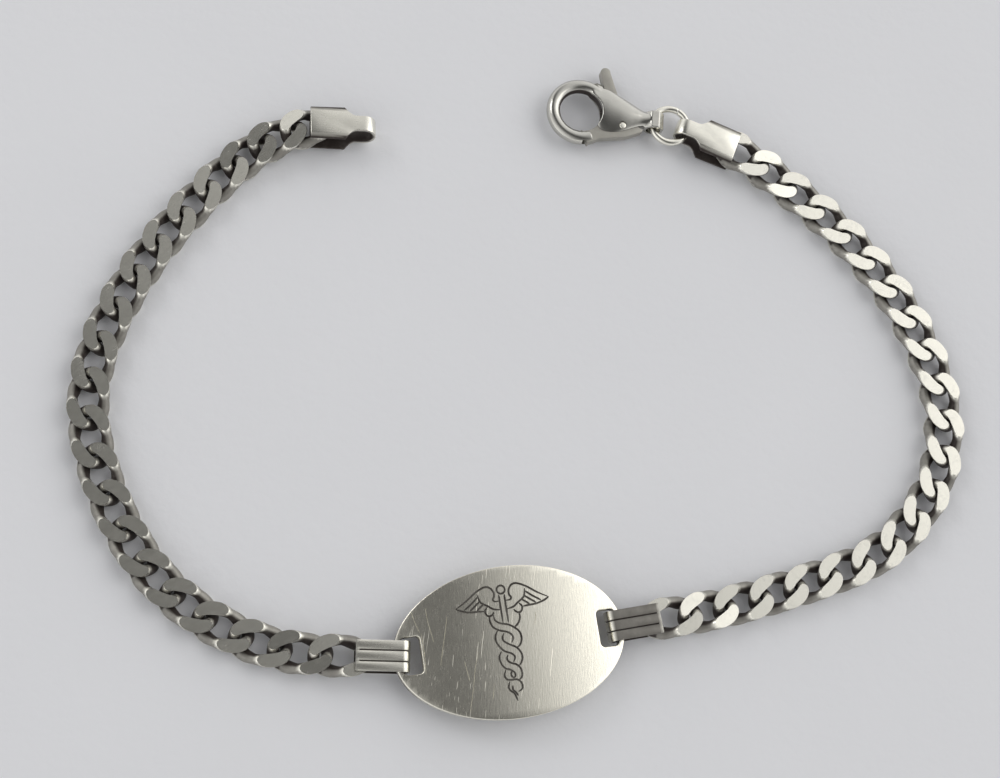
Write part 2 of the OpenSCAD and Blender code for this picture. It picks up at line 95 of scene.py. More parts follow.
def corners(piece: Piece) -> np.ndarray:
    """Returns the places of a piece's corners, one row each."""
    places = np.zeros(3 * len(piece.data.vertices), np.float32)
    piece.data.vertices.foreach_get("co", places)
    return places.reshape(-1, 3).astype(float)


def fade(amount: np.ndarray, start: float, width: float) -> np.ndarray:
    """Returns how far amounts have passed a start, as a share of a width, from 0 to 1."""
    return np.clip((amount - start) / width, 0, 1)


def set_recess(piece: Piece, depths: np.ndarray) -> None:
    """Stores how deep each corner of a piece lies in a recess, from 0 to 1, the amount of its painted shade
    and tarnish.
    """
    layer = piece.data.attributes.new("recess", "FLOAT", "POINT")
    layer.data.foreach_set("value", np.clip(depths, 0, 1).astype(np.float32))


def shown(name: str, data: bpy.types.ID) -> Piece:
    """Makes an object and puts it in the scene.

    Args:
        name: The object's name.
        data: The mesh, light or camera that it shows.

    Returns:
        The object.
    """
    made = bpy.data.objects.new(name, data)
    bpy.context.scene.collection.objects.link(made)
    return made


class Bench:
    """The modelling steps that the pieces are made with."""

    @staticmethod
    def pick(piece: Piece) -> None:
        """Selects one piece alone and makes it the active one."""
        bpy.ops.object.select_all(action="DESELECT")
        piece.select_set(True)
        bpy.context.view_layer.objects.active = piece

    @staticmethod
    def pick_face(piece: Piece, level: float) -> None:
        """Selects the faces of a piece that lie at one level along X, and nothing else.

        Args:
            piece: The piece.
            level: Place of those faces' middles along X.
        """
        for part in (*piece.data.vertices, *piece.data.edges):
            part.select = False
        for face in piece.data.polygons:
            face.select = abs(face.center.x - level) < 1e-4
        bpy.context.tool_settings.mesh_select_mode = (False, False, True)

    @staticmethod
    def start_edit(piece: Piece, whole: bool = True) -> None:
        """Opens a piece in edit mode.

        Args:
            piece: The piece.
            whole: Whether all of it is selected, or what was selected before.
        """
        Bench.pick(piece)
        bpy.ops.object.mode_set(mode="EDIT")
        if whole:
            bpy.ops.mesh.select_all(action="SELECT")

    @staticmethod
    def end_edit() -> None:
        """Turns all faces of the edited piece outwards and leaves edit mode."""
        bpy.ops.mesh.select_all(action="SELECT")
        bpy.ops.mesh.normals_make_consistent(inside=False)
        bpy.ops.object.mode_set(mode="OBJECT")

    @staticmethod
    def push(step: Point) -> None:
        """Extrudes the selected faces of the edited piece by a step."""
        bpy.ops.mesh.extrude_region_move(TRANSFORM_OT_translate={"value": step})

    @staticmethod
    def add(name: str, shape: Callable, place: Matrix | None = None, **sizes: object) -> Piece:
        """Adds one of Blender's own shapes.

        Args:
            name: The piece's name.
            shape: The operator that adds it.
            place: Where it goes, if not at the origin.
            **sizes: The operator's settings.

        Returns:
            The piece.
        """
        bpy.ops.object.select_all(action="DESELECT")
        shape(**sizes)
        piece = bpy.context.active_object
        piece.name = name
        if place is not None:
            piece.data.transform(place)
        return piece

    @staticmethod
    def prism(name: str, outline: list[Point], low: float, high: float) -> Piece:
        """Makes a prism from a disc whose corners are moved to an outline, and extruded.

        Args:
            name: The piece's name.
            outline: Corners in the XY plane, in order.
            low: Height of the lower face.
            high: Height of the upper face.

        Returns:
            The closed prism.
        """
        disc = bpy.ops.mesh.primitive_circle_add
        piece = Bench.add(name, disc, vertices=len(outline), radius=1, fill_type="NGON")
        for corner, (x, y) in zip(piece.data.vertices, outline):
            corner.co = (x, y, low)
        Bench.start_edit(piece)
        Bench.push((0, 0, high - low))
        Bench.end_edit()
        return piece

    @staticmethod
    def rod(name: str, radius: float, length: float, sides: int, place: Matrix) -> Piece:
        """Makes a rod with some flat sides, which is long along its own Z, and lays it in its place."""
        cylinder = bpy.ops.mesh.primitive_cylinder_add
        return Bench.add(name, cylinder, place, vertices=sides, radius=radius, depth=length)

    @staticmethod
    def spun(
        name: str, wire: float, radius: float, start: float, sweep: float, steps: int
    ) -> Piece:
        """Spins a round wire about the Z axis.

        Args:
            name: The piece's name.
            wire: Diameter of the wire.
            radius: Radius of its centre line.
            start: Direction of its first end, in degrees.
            sweep: How far it goes round from there.
            steps: Pieces along it.

        Returns:
            The wire, closed at both ends.
        """
        turn = Matrix.Rotation(math.radians(start), 4, "Z") @ Matrix.Translation((radius, 0, 0)) @ UPRIGHT
        disc = bpy.ops.mesh.primitive_circle_add
        piece = Bench.add(name, disc, turn, vertices=24, radius=wire / 2, fill_type="NGON")
        Bench.start_edit(piece)
        bpy.ops.mesh.spin(steps=steps, angle=-math.radians(sweep), center=(0, 0, 0), axis=(0, 0, 1))
        Bench.end_edit()
        return piece

    @staticmethod
    def modify(piece: Piece, kind: str, **values: object) -> Piece:
        """Adds a modifier to a piece and applies it.

        Args:
            piece: The piece.
            kind: Blender's name for the modifier.
            **values: The modifier's own settings.

        Returns:
            The same piece.
        """
        Bench.pick(piece)
        step = piece.modifiers.new(kind.lower(), kind)
        for key, value in values.items():
            setattr(step, key, value)
        bpy.ops.object.modifier_apply(modifier=step.name)
        return piece

    @staticmethod
    def combine(
        piece: Piece, tool: Piece, operation: str = "DIFFERENCE", **values: object
    ) -> None:
        """Cuts, joins or intersects a piece with a tool, and throws the tool away."""
        Bench.modify(piece, "BOOLEAN", operation=operation, solver="EXACT", object=tool, **values)
        bpy.data.objects.remove(tool)

    @staticmethod
    def ease(piece: Piece, width: float, segments: int, angle: float) -> Piece:
        """Rounds the edges where a piece bends by more than an angle in degrees, and returns the piece."""
        bend = math.radians(angle)
        return Bench.modify(
            piece, "BEVEL", width=width, segments=segments, limit_method="ANGLE", angle_limit=bend
        )

    @staticmethod
    def smooth(piece: Piece, angle: float) -> Piece:
        """Shades a piece smoothly, apart from edges sharper than an angle in degrees."""
        Bench.pick(piece)
        bpy.ops.object.shade_smooth_by_angle(angle=math.radians(angle))
        return piece

    @staticmethod
    def deliver(
        piece: Piece,
        place: Matrix,
        finish: "SilverFinish",
        slot: str,
        node: str,
        body: str = "bracelet",
    ) -> None:
        """Puts a finished piece in its place, dresses it, and hands it to the frame.

        Args:
            piece: The piece, in millimetres in its own frame.
            place: Where it goes in the bracelet, in millimetres.
            finish: Its finish.
            slot: The record's material slot; not used.
            node: The CAD node that it stands for.
            body: The body that it rides on.
        """
        piece.data.transform(Matrix.Scale(MM, 4) @ place)
        piece.data.update()
        if not piece.data.materials:
            piece.data.materials.append(None)
        piece.data.materials[0] = finish.material()
        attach(piece, body)
        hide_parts(node)
        log.info("%s: %d faces for %s", piece.name, len(piece.data.polygons), node)


# What a shader input is given: a value, a node, or a node or its name with one of its outputs.
Source = "float | tuple | bpy.types.Node"


class Wiring:
    """Short ways to add and join shader nodes."""

    def __init__(self, tree: bpy.types.NodeTree) -> None:
        """Works on one node tree."""
        self.tree = tree

    def shader(self, kind: str) -> bpy.types.Node:
        """Returns the tree's own shader of one type."""
        return next(node for node in self.tree.nodes if node.type == kind)

    def feed(self, node: bpy.types.Node, key: str | int, value: Source) -> None:
        """Gives an input a value, or a link from another node.

        Args:
            node: The node that takes it.
            key: Name or number of its input.
            value: What the input is given.
        """
        if isinstance(value, bpy.types.Node):
            self.tree.links.new(next(output for output in value.outputs if output.enabled), node.inputs[key])
        elif isinstance(value, tuple) and isinstance(value[0], (bpy.types.Node, str)):
            source = self.tree.nodes[value[0]] if isinstance(value[0], str) else value[0]
            self.tree.links.new(source.outputs[value[1]], node.inputs[key])
        else:
            node.inputs[key].default_value = value

    def node(self, kind: str, **feeds: Source) -> bpy.types.Node:
        """Adds a node.

        Args:
            kind: Blender's name for its kind.
            **feeds: What its inputs are given.

        Returns:
            The node.
        """
        made = self.tree.nodes.new(kind)
        for key, value in feeds.items():
            self.feed(made, key, value)
        return made

    def math(self, operation: str, *values: Source, clamp: bool = False) -> bpy.types.Node:
        """Adds a Math node.

        Args:
            operation: Blender's name for what it does.
            *values: What its inputs are given, in order.
            clamp: Whether its value is kept between 0 and 1.

        Returns:
            The node.
        """
        made = self.tree.nodes.new("ShaderNodeMath")
        made.operation = operation
        made.use_clamp = clamp
        for index, value in enumerate(values):
            self.feed(made, index, value)
        return made

    def vector(self, operation: str, *values: Source, scale: float = 1.0) -> bpy.types.Node:
        """Adds a Vector Math node.

        Args:
            operation: Blender's name for what it does.
            *values: What its inputs are given, in order.
            scale: The factor of a SCALE.

        Returns:
            The node.
        """
        made = self.tree.nodes.new("ShaderNodeVectorMath")
        made.operation = operation
        for index, value in enumerate(values):
            self.feed(made, index, value)
        made.inputs[3].default_value = scale
        return made

    def blend(self, mask: Source, first: Source, second: Source) -> tuple:
        """Mixes two colours.

        Args:
            mask: Share of the second colour.
            first: The first colour.
            second: The second colour.

        Returns:
            The node with the number of its colour output.
        """
        made = self.tree.nodes.new("ShaderNodeMix")
        made.data_type = "RGBA"
        for index, value in ((0, mask), (6, first), (7, second)):
            self.feed(made, index, value)
        return (made, 2)

    def effect(self, effect: "Effect", **feeds: Source) -> bpy.types.Node:
        """Adds a shared effect.

        Args:
            effect: The effect.
            **feeds: What its inputs are given.

        Returns:
            The effect's node.
        """
        made = self.tree.nodes.new("ShaderNodeGroup")
        made.node_tree = Effects.group(effect)
        for key, value in feeds.items():
            self.feed(made, key, value)
        return made


class Effect(Enum):
    """Effects that several finishes share: what each is called, and its inputs after the place."""

    HAIRLINES = ("hairlines", ("Angle",))
    SCRATCHES = ("scratches", ("Angle", "Keep"))
    TARNISH = ("tarnish_and_shade", ("Recess", "Spread", "Spots"))


class Effects:
    """The shared effects as node groups, each built once, with a mask as the output."""

    _built: dict[Effect, bpy.types.NodeTree] = {}

    @classmethod
    def group(cls, effect: Effect) -> bpy.types.NodeTree:
        """Returns an effect's node group, and builds it at its first use.

        Args:
            effect: The effect.

        Returns:
            The node group.
        """
        if effect not in cls._built:
            name, inputs = effect.value
            tree = bpy.data.node_groups.new(name, "ShaderNodeTree")
            tree.interface.new_socket("Vector", in_out="INPUT", socket_type="NodeSocketVector")
            for key in inputs:
                tree.interface.new_socket(key, in_out="INPUT", socket_type="NodeSocketFloat")
            tree.interface.new_socket("Mask", in_out="OUTPUT", socket_type="NodeSocketFloat")
            tree.nodes.new("NodeGroupInput").name = "In"
            end = tree.nodes.new("NodeGroupOutput")
            wire = Wiring(tree)
            builders = {
                Effect.HAIRLINES: cls._hairlines,
                Effect.SCRATCHES: cls._scratches,
                Effect.TARNISH: cls._tarnish_and_shade,
            }
            wire.feed(end, "Mask", builders[effect](wire))
            cls._built[effect] = tree
        return cls._built[effect]

    @staticmethod
    def _lines(wire: Wiring, drift: float, wander: float, stretch: Point, **noise: float) -> bpy.types.Node:
        """Adds a noise that is drawn out into lines.

        Args:
            wire: The group's wiring.
            drift: Scale of the noise that makes the lines wander.
            wander: How far they wander, in metres.
            stretch: Scale of the lines' own noise, along them and across them.
            **noise: More settings of that noise.

        Returns:
            The noise.
        """
        place = ("In", "Vector")
        stray = wire.node("ShaderNodeTexNoise", Scale=drift, Detail=1.0, Vector=place)
        pushed = wire.vector("ADD", place, wire.vector("SCALE", (stray, "Color"), scale=wander))
        turned = wire.node("ShaderNodeVectorRotate", Vector=pushed, Angle=("In", "Angle"))
        turned.rotation_type = "Z_AXIS"
        along, across = stretch
        drawn = wire.vector("MULTIPLY", turned, (along, across, across))
        return wire.node("ShaderNodeTexNoise", Scale=1.0, Vector=drawn, **noise)

    @classmethod
    def _hairlines(cls, wire: Wiring) -> bpy.types.Node:
        """Fine parallel lines that a polishing cloth leaves, and how strongly they show."""
        return cls._lines(wire, 400.0, 0.00012, (1300.0, 8000.0), Detail=3.0, Roughness=0.7)

    @classmethod
    def _scratches(cls, wire: Wiring) -> bpy.types.Node:
        """Sparse single scratches, as a mask that is one inside a scratch."""
        lines = cls._lines(wire, 160.0, 0.0005, (170.0, 13000.0), Detail=0.0)
        over = wire.math("SUBTRACT", lines, ("In", "Keep"))
        return wire.math("MULTIPLY", over, 20.0, clamp=True)

    @staticmethod
    def _tarnish_and_shade(wire: Wiring) -> bpy.types.Node:
        """Brown tarnish and painted shade that gather in recesses, with the tarnish also spread in spots."""
        scale, place = ("In", "Spots"), ("In", "Vector")
        spots = wire.node("ShaderNodeTexNoise", Scale=scale, Detail=4.0, Roughness=0.65, Vector=place)
        broken = wire.math("MULTIPLY_ADD", spots, 1.6, -0.8)
        spread = wire.math("MULTIPLY", broken, ("In", "Spread"))
        return wire.math("ADD", ("In", "Recess"), spread, clamp=True)


# What tarnish with painted shade, and scratches, add to the clean metal, and the height of a hairline in
# metres.
TARNISH_AND_SHADE_METAL = -0.75
TARNISH_AND_SHADE_ROUGH = 0.3
SCRATCH_ROUGH = 0.14
SCRATCH_HEIGHT = -1.5
LINE_HEIGHT = 0.00003


@dataclass(frozen=True)
class SilverFinish:
    """A silver surface.

    Attributes:
        name: The material's name.
        clean: Colour where it is clean.
        tarnish_and_shade_colour: Colour of its tarnish and of its painted shade.
        rough: Roughness where it is clean.
        line_angle: Way that its hairlines run, in degrees from the frame's X.
        line_depth: Strength of its hairlines.
        scratch_slant: Turn of its scratches from its hairlines, in degrees.
        scratch_keep: Level above which a scratch shows. Above one, there are none.
        spread: How far spots of tarnish reach from the recesses.
        spots: Scale of those spots.
        base_stain: Tarnish that is there all over.
    """

    name: str
    clean: Point = (0.88, 0.86, 0.775)
    tarnish_and_shade_colour: Point = (0.04, 0.03, 0.026)
    rough: float = 0.24
    line_angle: float = 90.0
    line_depth: float = 0.3
    scratch_slant: float = 6.0
    scratch_keep: float = 1.2
    spread: float = 0.15
    spots: float = 900.0
    base_stain: float = 0.0

    def material(self) -> bpy.types.Material:
        """Returns this finish's material, and builds it at its first use."""
        made = bpy.data.materials.get(self.name)
        if made:
            return made
        made = bpy.data.materials.new(self.name)
        made.use_nodes = True
        wire = Wiring(made.node_tree)
        shader = wire.shader("BSDF_PRINCIPLED")
        place = (wire.node("ShaderNodeTexCoord"), "Object")
        recess = wire.node("ShaderNodeAttribute")
        recess.attribute_name = "recess"
        angle, slant = math.radians(-self.line_angle), math.radians(self.scratch_slant)
        lines = wire.effect(Effect.HAIRLINES, Vector=place, Angle=angle)
        marks = wire.effect(Effect.SCRATCHES, Vector=place, Angle=angle + slant, Keep=self.scratch_keep)
        # The recess amount, with the spots, gives painted shade and tarnish alike: darker colour, rougher
        # and less metallic.
        depth = wire.math("ADD", (recess, "Fac"), self.base_stain)
        tarnish_and_shade_mask = wire.effect(Effect.TARNISH, Vector=place, Recess=depth, Spread=self.spread, Spots=self.spots)
        wire.feed(shader, "Base Color", wire.blend(tarnish_and_shade_mask, (*self.clean, 1), (*self.tarnish_and_shade_colour, 1)))
        ripple = 0.5 * self.line_depth
        grain = wire.math("MULTIPLY_ADD", lines, ripple, self.rough - ripple / 2)
        scored = wire.math("MULTIPLY_ADD", marks, SCRATCH_ROUGH, grain)
        rough = wire.math("MULTIPLY_ADD", tarnish_and_shade_mask, TARNISH_AND_SHADE_ROUGH, scored, clamp=True)
        wire.feed(shader, "Roughness", rough)
        wire.feed(shader, "Metallic", wire.math("MULTIPLY_ADD", tarnish_and_shade_mask, TARNISH_AND_SHADE_METAL, 1.0))
        height = wire.math("MULTIPLY_ADD", marks, SCRATCH_HEIGHT, lines)
        bump = wire.node("ShaderNodeBump", Strength=self.line_depth, Distance=LINE_HEIGHT, Height=height)
        wire.feed(shader, "Normal", bump)
        return made


PLATE = SilverFinish(
    "plate silver",
    (0.88, 0.852, 0.75),
    rough=0.25,
    line_angle=88,
    line_depth=0.29,
    scratch_keep=0.785,
    spread=0.1,
)
ENGRAVED = SilverFinish("engraved oxide", rough=0.5, base_stain=0.85, spread=0.3)
STRAP = SilverFinish("strap silver", rough=0.22, line_angle=0, line_depth=0.2)
CHAIN = SilverFinish("chain silver", rough=0.24, line_angle=30, line_depth=0.25, spread=0.22, spots=1100)
RING = SilverFinish("ring silver", rough=0.16, line_depth=0.1)
CLASP = SilverFinish("clasp silver", (0.55, 0.54, 0.5), rough=0.2, line_angle=0, line_depth=0.12)
LEVER = SilverFinish(
    "lever silver", (0.68, 0.665, 0.6), rough=0.3, line_angle=0, line_depth=0.15, base_stain=0.45
)
PIN = SilverFinish("pin silver", rough=0.2, line_depth=0.2)


@dataclass
class CurbChain:
    """The two lengths of ground curb chain.

    Attributes:
        half_len: Half the length of a link's centre line.
        half_width: Half its width.
        rise: Half its height, before the twist takes its share.
        wire: Radius of the wire, from the middle of a side to the middle of an end.
        thickness: Thickness between the ground faces.
        twist: Twist from the link's middle to each end, in degrees.
        square: Exponents that square the centre line, along and across.
        tuck: Exponent of how far the twist draws the sides in.
        stations: Points along its centre line.
        count: Links on each side.
        rim: Width of the rounded rim of a ground face.
        side_tarnish_and_shade: Tarnish and painted shade on the outer sides of a link.
    """

    half_len: float = 2.42
    half_width: float = 1.4
    rise: float = 1.3
    wire: tuple[Point, ...] = ((0.0, 0.46), (0.35, 0.6), (0.75, 0.61), (1.0, 0.54))
    thickness: float = 1.4
    twist: float = 60.0
    square: tuple[float, float] = (0.95, 0.66)
    tuck: float = 0.4
    stations: int = 80
    count: int = 21
    rim: float = 0.08
    side_tarnish_and_shade: float = 0.7

    def centre_line(self) -> list[Point]:
        """Returns the points that a link's wire follows, each with the wire's radius there."""
        points = []
        for cosine, sine in arc((0, 0), 1, 0, 360, self.stations)[:-1]:
            c = math.copysign(abs(cosine) ** self.square[0], cosine)
            s = math.copysign(abs(sine) ** self.square[1], sine)
            turn = -math.radians(self.twist) * c
            radius = float(np.interp(abs(cosine), *zip(*self.wire)))
            across = self.half_width * s * math.cos(turn) ** self.tuck
            points.append((self.half_len * c, across, self.rise * s * math.sin(turn), radius))
        return points

    def template(self) -> Piece:
        """Models one link: a closed wire, ground flat above and below, with the rims rounded.

        Returns:
            The link, with its middle at the origin and its length along X.
        """
        wire = Bench.add("wire", bpy.ops.curve.primitive_bezier_circle_add, radius=1)
        wire.data.splines.clear()
        line = wire.data.splines.new("POLY")
        points = self.centre_line()
        line.points.add(len(points) - 1)
        for target, (x, y, z, radius) in zip(line.points, points):
            target.co = (x, y, z, 1)
            target.radius = radius
        line.use_cyclic_u = True
        wire.data.dimensions = "3D"
        wire.data.bevel_depth = 1
        wire.data.bevel_resolution = 6
        wire.data.twist_mode = "MINIMUM"
        bpy.ops.object.convert(target="MESH")
        link = bpy.context.active_object
        Bench.start_edit(link)
        bpy.ops.mesh.remove_doubles(threshold=0.001)
        for side in (1, -1):
            bpy.ops.mesh.select_all(action="SELECT")
            level, up = (0, 0, side * self.thickness / 2), (0, 0, side)
            bpy.ops.mesh.bisect(plane_co=level, plane_no=up, use_fill=True, clear_outer=True)
        Bench.end_edit()
        self.round_rims(link)
        self.tarnish_and_shade(link)
        return link

    def ground_faces(self, link: Piece) -> list[bpy.types.MeshPolygon]:
        """Returns the flat faces that the grinding left, two above and two below."""
        limit = self.thickness / 2 - 0.001
        return [face for face in link.data.polygons if len(face.vertices) > 6 and abs(face.center.z) > limit]

    def round_rims(self, link: Piece) -> None:
        """Rounds the rims of the ground faces and keeps the faces' own shading flat.

        Args:
            link: The ground link.
        """
        for face in link.data.polygons:
            face.select = False
        for face in self.ground_faces(link):
            face.select = True
        Bench.start_edit(link, whole=False)
        bpy.ops.mesh.select_mode(type="FACE")
        bpy.ops.mesh.region_to_loop()
        bpy.ops.mesh.bevel(offset=self.rim, segments=3, affect="EDGES", clamp_overlap=True)
        bpy.ops.mesh.select_mode(type="VERT")
        bpy.ops.object.mode_set(mode="OBJECT")
        Bench.smooth(link, 40)
        for face in self.ground_faces(link):
            for loop in face.loop_indices:
                link.data.edges[link.data.loops[loop].edge_index].use_edge_sharp = True

    def tarnish_and_shade(self, link: Piece) -> None:
        """Stores the tarnish and painted shade below the ground faces, inside the link and at its ends.

        Args:
            link: The ground link.
        """
        x, y, z = corners(link).T
        reach = (np.abs(x / self.half_len) ** 3 + np.abs(y / self.half_width) ** 3) ** (1 / 3)
        below = fade(self.thickness / 2 - np.abs(z), 0.084, 0.14)
        inside = fade(1.08 - reach, 0, 0.14)
        ends = fade(np.abs(x) / self.half_len, 0.5, 0.2)
        set_recess(link, below * np.maximum(self.side_tarnish_and_shade, np.maximum(inside, ends)))

    def placement(self, node: str) -> Matrix:
        """Finds how a link lies from the CAD node's corners.

        Args:
            node: The CAD node's name.

        Returns:
            The matrix from the link's own frame to the bracelet's, in millimetres.
        """
        place = corners(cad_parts[node]) / MM
        middle = place.mean(axis=0)
        _, axes = np.linalg.eigh(np.cov((place - middle).T))
        x_axis, y_axis = axes[:, 2], axes[:, 1]
        turn = Matrix(np.array([x_axis, y_axis, np.cross(x_axis, y_axis)]).T.tolist()).to_4x4()
        return Matrix.Translation(middle) @ turn

    def build(self) -> None:
        """Copies the link to each place in both lengths of chain."""
        template = self.template()
        for side in ("left", "right"):
            for number in range(1, self.count + 1):
                node = f"link_{side}_{number}"
                link = shown(f"curb_{node}", template.data.copy())
                Bench.deliver(link, self.placement(node), CHAIN, "chain_silver", node)
        bpy.data.objects.remove(template)


# Strokes of the emblem, as shares of its height: across, then up. Twins are drawn on both sides.
TWIN_STROKES: list[list[Point]] = [
    [(0.43, 0.38), (0.33, 0.435), (0.23, 0.505), (0.15, 0.54), (0.1, 0.53), (0.07, 0.485), (0.07, 0.445),
     (0.085, 0.42), (0.07, 0.4), (0.03, 0.4)],
    [(0.43, 0.38), (0.38, 0.355), (0.31, 0.335), (0.24, 0.33), (0.18, 0.325)],
    [(0.22, 0.485), (0.205, 0.42), (0.175, 0.39), (0.135, 0.365), (0.095, 0.335), (0.03, 0.32)],
    [(0.22, 0.46), (0.28, 0.41), (0.355, 0.36)],
    [(0.205, 0.42), (0.25, 0.385), (0.305, 0.345)],
    [(0.175, 0.39), (0.21, 0.365), (0.245, 0.335)],
    [(0.145, 0.36), (0.17, 0.33), (0.165, 0.295), (0.14, 0.275), (0.11, 0.285), (0.09, 0.31)],
    [(0.025, 0.455), (0.025, 0.36), (0.025, 0.2)],
]
SINGLE_STROKES: list[list[Point]] = [
    [(-0.14, 0.275), (-0.14, 0.225), (-0.12, 0.175), (-0.07, 0.14), (-0.01, 0.12), (0.03, 0.095),
     (0.045, 0.055), (0.025, 0.015)],
    [(-0.1, 0.28), (-0.095, 0.235), (-0.05, 0.2), (0.02, 0.18), (0.08, 0.14), (0.115, 0.095),
     (0.12, 0.04), (0.1, -0.01), (0.065, -0.035)],
    [(0.135, 0.275), (0.135, 0.23), (0.115, 0.185), (0.075, 0.15)],
    [(-0.085, 0.14), (-0.11, 0.1), (-0.115, 0.05), (-0.09, -0.005), (-0.05, -0.05), (0.01, -0.08),
     (0.035, -0.115), (0.015, -0.155)],
    [(-0.03, 0.11), (-0.05, 0.075), (-0.045, 0.04), (0, 0.005), (0.06, -0.03), (0.095, -0.08),
     (0.1, -0.13), (0.08, -0.175), (0.055, -0.195)],
    [(-0.08, -0.05), (-0.105, -0.09), (-0.1, -0.15), (-0.07, -0.2), (-0.025, -0.22), (0.01, -0.25),
     (0.01, -0.285), (-0.015, -0.295)],
    [(-0.025, -0.085), (-0.04, -0.12), (-0.02, -0.155), (0.035, -0.18), (0.07, -0.22), (0.075, -0.265),
     (0.065, -0.3), (0.04, -0.32)],
    [(-0.065, -0.215), (-0.085, -0.26), (-0.07, -0.3), (-0.03, -0.31), (0.005, -0.31), (0.035, -0.32),
     (0.06, -0.355), (0.055, -0.4), (0.015, -0.42)],
    [(-0.015, -0.235), (-0.025, -0.265), (-0.01, -0.295)],
    [(-0.045, -0.32), (-0.065, -0.37), (-0.05, -0.405), (-0.02, -0.435), (0, -0.5)],
    [(-0.025, -0.36), (-0.03, -0.395), (-0.005, -0.425), (0.01, -0.455)],
]
STAFF_BALL_R = 0.037
STAFF_BALL_UP = 0.5

# The plate's deepest scratches, in millimetres from its middle.
SCRATCHES: list[list[Point]] = [
    [(-8.6, 3.8), (-8.4, 2.8), (-8.1, 1.8)],
    [(-8.0, 1.7), (-7.95, 0.7), (-7.98, -0.4), (-8.05, -1.9)],
    [(-7.3, 3.9), (-7.25, 2.6), (-7.1, 1.6), (-7.0, 0.8)],
    [(-5.5, 2.9), (-5.85, 1.6), (-6.25, 0.2), (-6.7, -1.4)],
    [(-3.2, -0.65), (-3.7, -2.05), (-4.1, -3.7), (-4.7, -5.75)],
    [(-4.55, -1.25), (-4.45, -2.2), (-4.35, -3.1)],
    [(2.55, 2.2), (2.4, 1.6), (2.25, 1.0)],
    [(-2.2, -3.6), (-2.55, -5.0)],
]


@dataclass(frozen=True)
class Graver:
    """A tool that cuts strokes with a diamond section into the plate.

    Attributes:
        width: Width of its groove.
        depth: Depth of its groove.
        proud: How far the groove's widest level stands above the plate.
        finish: Finish that it leaves.
    """

    width: float
    depth: float
    proud: float
    finish: SilverFinish

    def cutter(self, stroke: list[Point], level: float) -> Piece:
        """Makes the solid that cuts one stroke.

        Args:
            stroke: The stroke's points, in millimetres on the plate.
            level: Height of the plate's face.

        Returns:
            The cutter, narrower towards both ends.
        """
        path = smoothed(stroke)
        last = len(path) - 1
        top = level + self.proud
        places: list[Point] = []
        for index, (x, y) in enumerate(path):
            before, after = path[max(index - 1, 0)], path[min(index + 1, last)]
            along = Vector((after[0] - before[0], after[1] - before[1])).normalized()
            swell = min(1, 0.45 + 4 * min(index, last - index) / last)
            w, d = self.width / 2 * swell, self.depth * swell
            places += [(x - along.y * w, y + along.x * w, top), (x, y, top - d)]
            places += [(x + along.y * w, y - along.x * w, top), (x, y, top + d)]
        faces: list[tuple[int, ...]] = []
        for first in range(0, 4 * last, 4):
            for a, b in ((0, 1), (1, 2), (2, 3), (3, 0)):
                faces.append((first + a, first + b, first + b + 4, first + a + 4))
        faces += [(3, 2, 1, 0), tuple(range(4 * last, 4 * last + 4))]
        mesh = bpy.data.meshes.new("cutter")
        mesh.from_pydata(places, [], faces)
        cutter = shown("cutter", mesh)
        cutter.data.materials.append(self.finish.material())
        Bench.start_edit(cutter)
        Bench.end_edit()
        return cutter


